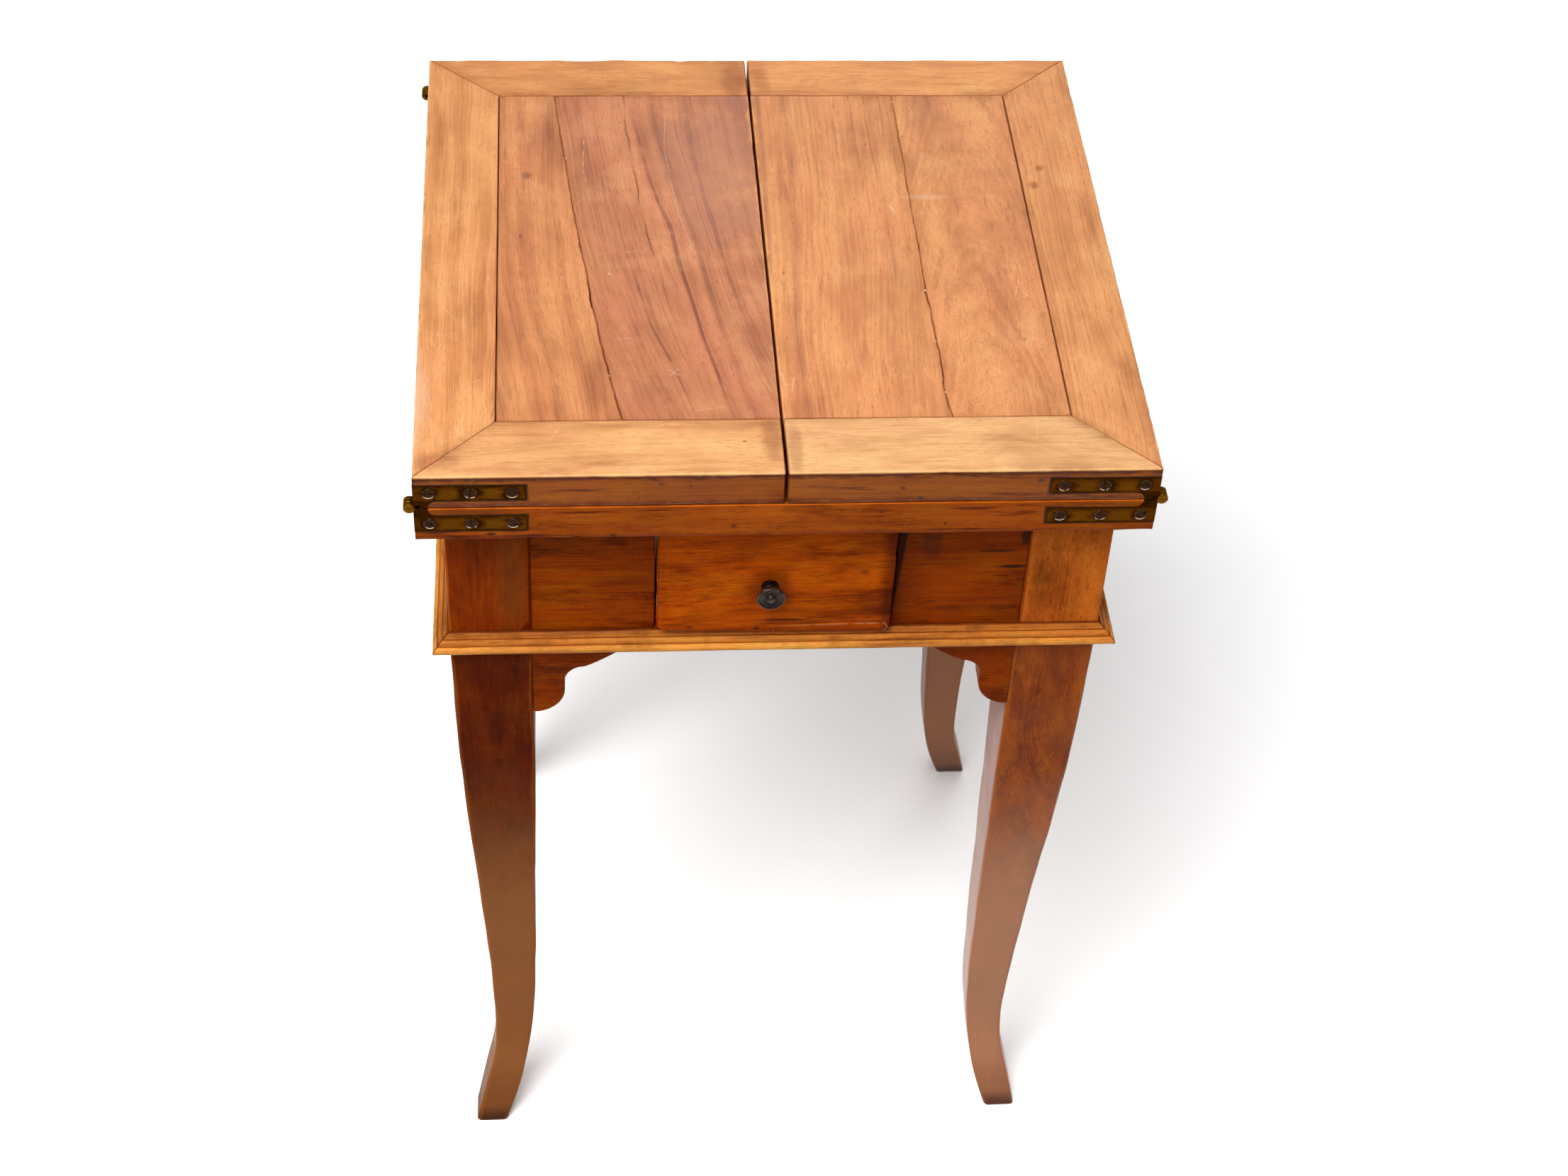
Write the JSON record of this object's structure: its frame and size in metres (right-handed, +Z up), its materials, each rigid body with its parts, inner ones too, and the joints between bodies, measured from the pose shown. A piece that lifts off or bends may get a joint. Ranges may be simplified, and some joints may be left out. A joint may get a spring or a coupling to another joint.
{
  "type": "folding side table",
  "caption": "Square wooden side table with two folding leaves on brass strap hinges, one drawer and curved legs.",
  "frame": {"origin": "on the floor, under the middle of the closed top", "axes": "+Z up, the drawer's front faces -Y, the seam between the leaves runs along Y"},
  "size_m": [0.5026, 0.477, 0.7605],
  "materials": {
    "top_border": "waxed hardwood, yellow-orange with dark flecks and wear",
    "top_panel": "waxed hardwood, redder figured boards with scratches",
    "fixed_top": "waxed hardwood, brown-orange edge grain",
    "frame_wood": "waxed hardwood, deep orange-brown",
    "moulding_wood": "waxed hardwood, bright orange with dark quirk lines",
    "drawer_face": "polished hardwood, saturated orange-brown",
    "lining_wood": "dry unfinished softwood",
    "hinge_brass": "old brass, olive-brown patina",
    "hinge_screws": "old brass screws with worn bright rims",
    "steel_screws": "dull steel",
    "knob_bronze": "dark bronzed brass"
  },
  "bodies": {
    "frame": {"leg_front_left": "frame_wood", "leg_front_right": "frame_wood", "leg_back_left": "frame_wood", "leg_back_right": "frame_wood", "side_rail_left": "frame_wood", "side_rail_right": "frame_wood", "back_rail": "frame_wood", "front_rail_left": "frame_wood", "front_rail_right": "frame_wood", "drawer_bearer": "frame_wood", "front_top_rail": "frame_wood", "moulding_front": "moulding_wood", "moulding_back": "moulding_wood", "moulding_left": "moulding_wood", "moulding_right": "moulding_wood", "front_brackets": "frame_wood", "back_brackets": "frame_wood", "left_brackets": "frame_wood", "right_brackets": "frame_wood", "drawer_runner_left": "lining_wood", "drawer_runner_right": "lining_wood", "drawer_guide_left": "lining_wood", "drawer_guide_right": "lining_wood", "drawer_kickers": "lining_wood", "drawer_stops": "lining_wood", "top_buttons": "lining_wood", "top_button_screws": "steel_screws", "bed_stile_left": "fixed_top", "bed_stile_right": "fixed_top", "bed_rail_front": "fixed_top", "bed_rail_back": "fixed_top", "bed_board_left": "fixed_top", "bed_board_middle": "fixed_top", "bed_board_right": "fixed_top", "bed_straps": "hinge_brass", "bed_hinge_screws": "hinge_screws", "hinge_pins": "hinge_brass"},
    "left_leaf": {"left_leaf_stile": "top_border", "left_leaf_front_rail": "top_border", "left_leaf_back_rail": "top_border", "left_leaf_outer_board": "top_panel", "left_leaf_inner_board": "top_panel", "left_leaf_straps": "hinge_brass", "left_leaf_screws": "hinge_screws"},
    "right_leaf": {"right_leaf_stile": "top_border", "right_leaf_front_rail": "top_border", "right_leaf_back_rail": "top_border", "right_leaf_outer_board": "top_panel", "right_leaf_inner_board": "top_panel", "right_leaf_straps": "hinge_brass", "right_leaf_screws": "hinge_screws"},
    "drawer": {"drawer_front": "drawer_face", "drawer_side_left": "lining_wood", "drawer_side_right": "lining_wood", "drawer_back": "lining_wood", "drawer_bottom": "lining_wood", "drawer_knob": "knob_bronze", "drawer_knob_screw": "steel_screws"}
  },
  "joints": [
    {"name": "left_leaf_hinge", "type": "hinge", "parent": "frame", "child": "left_leaf", "pos_m": [-0.2473, 0, 0.733], "axis": [0, -1, 0], "range_deg": [0, 180]},
    {"name": "right_leaf_hinge", "type": "hinge", "parent": "frame", "child": "right_leaf", "pos_m": [0.2473, 0, 0.733], "axis": [0, 1, 0], "range_deg": [0, 180]},
    {"name": "drawer_slide", "type": "slide", "parent": "frame", "child": "drawer", "axis": [0, -1, 0], "range_m": [0, 0.27]}
  ]
}
